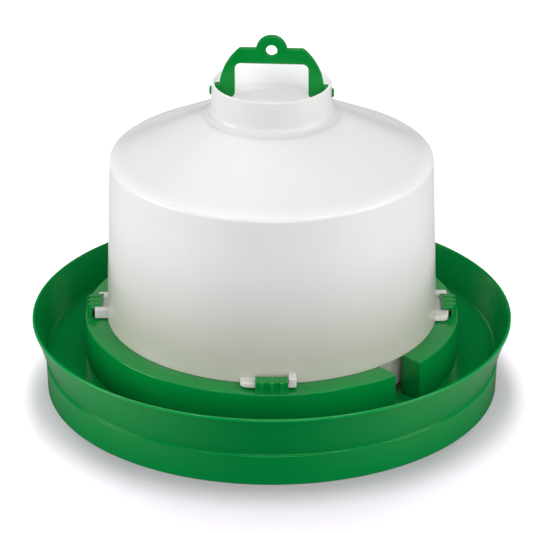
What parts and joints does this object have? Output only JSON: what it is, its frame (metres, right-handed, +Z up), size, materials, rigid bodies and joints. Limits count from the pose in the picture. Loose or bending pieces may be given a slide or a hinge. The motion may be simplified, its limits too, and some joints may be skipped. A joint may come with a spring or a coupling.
{
  "type": "poultry waterer fount",
  "caption": "Round drinking tray with a seat ring and outlet, a translucent water bell that twists in under hooks, and a bail handle that swings in the bell's neck.",
  "frame": {"origin": "centre of the tray's foot on the ground, on the vertical axis of tray and bell", "axes": "+Z up along the axis of tray and bell; +X and +Y point at the right and rear hooks; the front hook is towards -Y and the water outlet lies midway between +X and -Y"},
  "size_m": [0.39, 0.39, 0.2999],
  "materials": {
    "tray_plastic": "glossy injection-moulded green",
    "bell_plastic": "satin translucent white",
    "handle_plastic": "satin moulded green"
  },
  "bodies": {
    "tray": {"tray_dish": "tray_plastic", "seat_ring": "tray_plastic", "hook_front": "tray_plastic", "hook_right": "tray_plastic", "hook_rear": "tray_plastic", "hook_left": "tray_plastic"},
    "bell": {"bell_shell": "bell_plastic", "neck_cup": "bell_plastic", "lug_front": "bell_plastic", "lug_right": "bell_plastic", "lug_rear": "bell_plastic", "lug_left": "bell_plastic"},
    "handle": {"handle_bail": "handle_plastic", "pivot_pin_left": "handle_plastic", "pivot_pin_right": "handle_plastic"}
  },
  "joints": [
    {"name": "bell_twist", "type": "hinge", "parent": "tray", "child": "bell", "pos_m": [0, 0, 0.0618], "axis": [0, 0, 1], "range_deg": [0, 16.5]},
    {"name": "handle_swing", "type": "hinge", "parent": "bell", "child": "handle", "pos_m": [0, 0, 0.2527], "axis": [0.998, -0.0628, 0], "range_deg": [-75, 75]}
  ]
}
